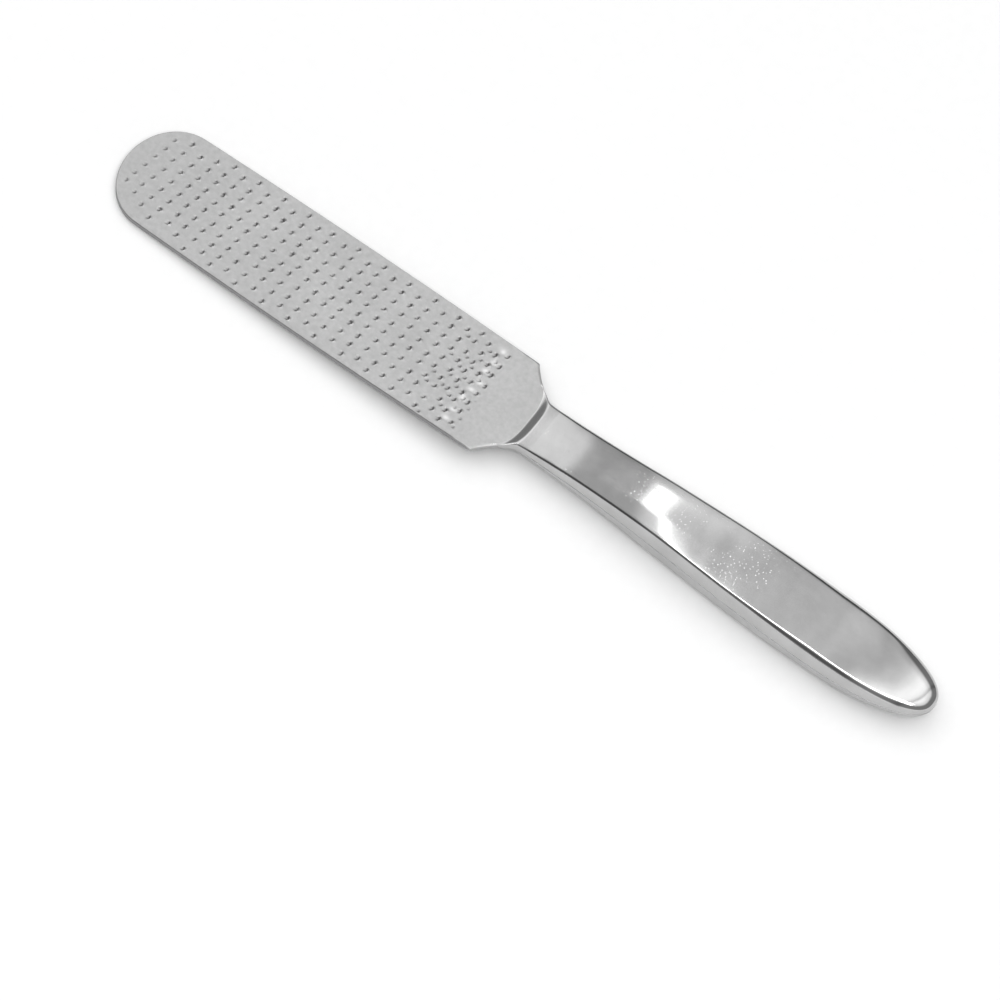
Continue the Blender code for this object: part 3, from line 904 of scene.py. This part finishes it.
def rest_plane():
    """Slope along X, and height at X = 0, of the floor under the handle's belly and the blade's tip."""
    at = np.linspace(MOUTH_AT, LENGTH, 400)
    under = BLADE_Z - drop(at) - half_height(at)
    tip_at = 0.6 * MM
    tip_z = BLADE_Z - BLADE_HALF_THICKNESS
    slope = ((under - tip_z) / (at - tip_at)).min()
    return slope, tip_z - slope * (tip_at + TIP_X)


def pale_floor():
    """A plain floor, tilted until the handle's belly and the blade's tip both rest on it."""
    slope, height = rest_plane()
    bm = bmesh.new()
    bmesh.ops.create_grid(bm, x_segments=2, y_segments=2, size=FLOOR_SIZE / 2)
    mesh = bpy.data.meshes.new("floor")
    bm.to_mesh(mesh)
    bm.free()
    floor = bpy.data.objects.new("floor", mesh)
    floor.rotation_euler.y = -math.atan(slope)
    floor.location.z = height - FLOOR_GAP
    bpy.context.scene.collection.objects.link(floor)
    n = Nodes("pale_floor")
    grain = n.noise(400, detail=3)
    n.link(n.colours(grain, (0.3, grey(0.925)), (0.7, grey(0.94))), n.shader.inputs["Base Color"])
    n.shader.inputs["Roughness"].default_value = 0.9
    n.shader.inputs["Specular IOR Level"].default_value = 0.0
    mesh.materials.append(n.material)


def sky():
    """A soft surround: white for the camera, and for light a pale dome over a darker band near the
    horizon, with bands of light and dark along X."""
    world = bpy.data.worlds.new("studio")
    bpy.context.scene.world = world
    world.use_nodes = True
    tree = world.node_tree
    tree.nodes.clear()
    new = tree.nodes.new
    link = tree.links.new
    split = new("ShaderNodeSeparateXYZ")
    link(new("ShaderNodeTexCoord").outputs["Generated"], split.inputs["Vector"])

    along = new("ShaderNodeMath")  # X + 0.5
    along.operation = "ADD"
    link(split.outputs["X"], along.inputs[0])
    along.inputs[1].default_value = 0.5
    up = new("ShaderNodeMath")  # SKY_Y_SHARE * Y + Z
    up.operation = "MULTIPLY_ADD"
    link(split.outputs["Y"], up.inputs[0])
    up.inputs[1].default_value = SKY_Y_SHARE
    link(split.outputs["Z"], up.inputs[2])

    both = new("ShaderNodeMix")
    both.data_type = "RGBA"
    both.blend_type = "MULTIPLY"
    both.inputs["Factor"].default_value = 1.0
    for place, stops, socket in ((up, SKY_BY_HEIGHT, "A"), (along, SKY_BY_LENGTH, "B")):
        ramp = new("ShaderNodeValToRGB")
        ramp.color_ramp.interpolation = "EASE"
        fill_ramp(ramp.color_ramp, [(position, grey(value)) for position, value in stops])
        link(place.outputs[0], ramp.inputs["Fac"])
        link(ramp.outputs["Color"], both.inputs[socket])
    light = new("ShaderNodeBackground")
    link(both.outputs["Result"], light.inputs["Color"])
    seen = new("ShaderNodeBackground")
    seen.inputs["Color"].default_value = grey(1.0)
    mix = new("ShaderNodeMixShader")
    link(new("ShaderNodeLightPath").outputs["Is Camera Ray"], mix.inputs["Fac"])
    link(light.outputs["Background"], mix.inputs[1])
    link(seen.outputs["Background"], mix.inputs[2])
    link(mix.outputs["Shader"], new("ShaderNodeOutputWorld").inputs["Surface"])


def softbox(name, toward, distance, size, along, glow):
    """A rectangular soft light that looks at the tool, with its long side laid along a direction. Glow is
    the brightness of its surface."""
    data = bpy.data.lights.new(name, "AREA")
    data.shape = "RECTANGLE"
    data.size, data.size_y = size
    data.energy = glow * math.pi * size[0] * size[1]
    lamp = bpy.data.objects.new(name, data)
    back = Vector(toward).normalized()
    lamp.location = back * distance
    length = Vector(along)
    length = (length - length.dot(back) * back).normalized()
    lamp.rotation_euler = Matrix((length.cross(back), length, back)).transposed().to_euler()
    bpy.context.scene.collection.objects.link(lamp)


def camera():
    """The camera at the photograph's angle: turned, lifted, rolled, then moved aside and down in its own
    frame until the upper tool of the photograph lies where it does there."""
    turn = (
        Matrix.Rotation(VIEW_AZIMUTH, 3, "Z")
        @ Matrix.Rotation(math.pi / 2 - VIEW_ELEVATION, 3, "X")
        @ Matrix.Rotation(VIEW_ROLL, 3, "Z")
    )
    data = bpy.data.cameras.new("camera")
    data.lens = LENS
    data.sensor_width = SENSOR_WIDTH
    data.clip_start = 0.01
    data.clip_end = 10
    cam = bpy.data.objects.new("camera", data)
    place = VIEW_AIM + turn @ Vector((VIEW_ASIDE, VIEW_BELOW, VIEW_DISTANCE))
    cam.matrix_world = Matrix.Translation(place) @ turn.to_4x4()
    bpy.context.scene.collection.objects.link(cam)
    bpy.context.scene.camera = cam


def build():
    """Every visual piece, the surround and the camera. The filler keeps its CAD mesh."""
    polished = polished_steel("polished_handle_steel", 0.07, 0.1, 0.2)
    rasp_blade(blade_steel())
    neck_fillet(polished_steel("ground_neck_steel", 0.12, 0.2, 0.3))
    handle_shell("handle_upper_half", 1, "handle_upper_shell", polished)
    handle_shell("handle_lower_half", -1, "handle_lower_shell", polished)
    seam(seam_steel())
    resin = filler_resin()
    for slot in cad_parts["tang_filler"].material_slots:
        slot.material = resin
    pale_floor()
    sky()
    for box in SOFTBOXES:
        softbox(*box)
    camera()
    bpy.context.scene.view_settings.view_transform = "Standard"


build()
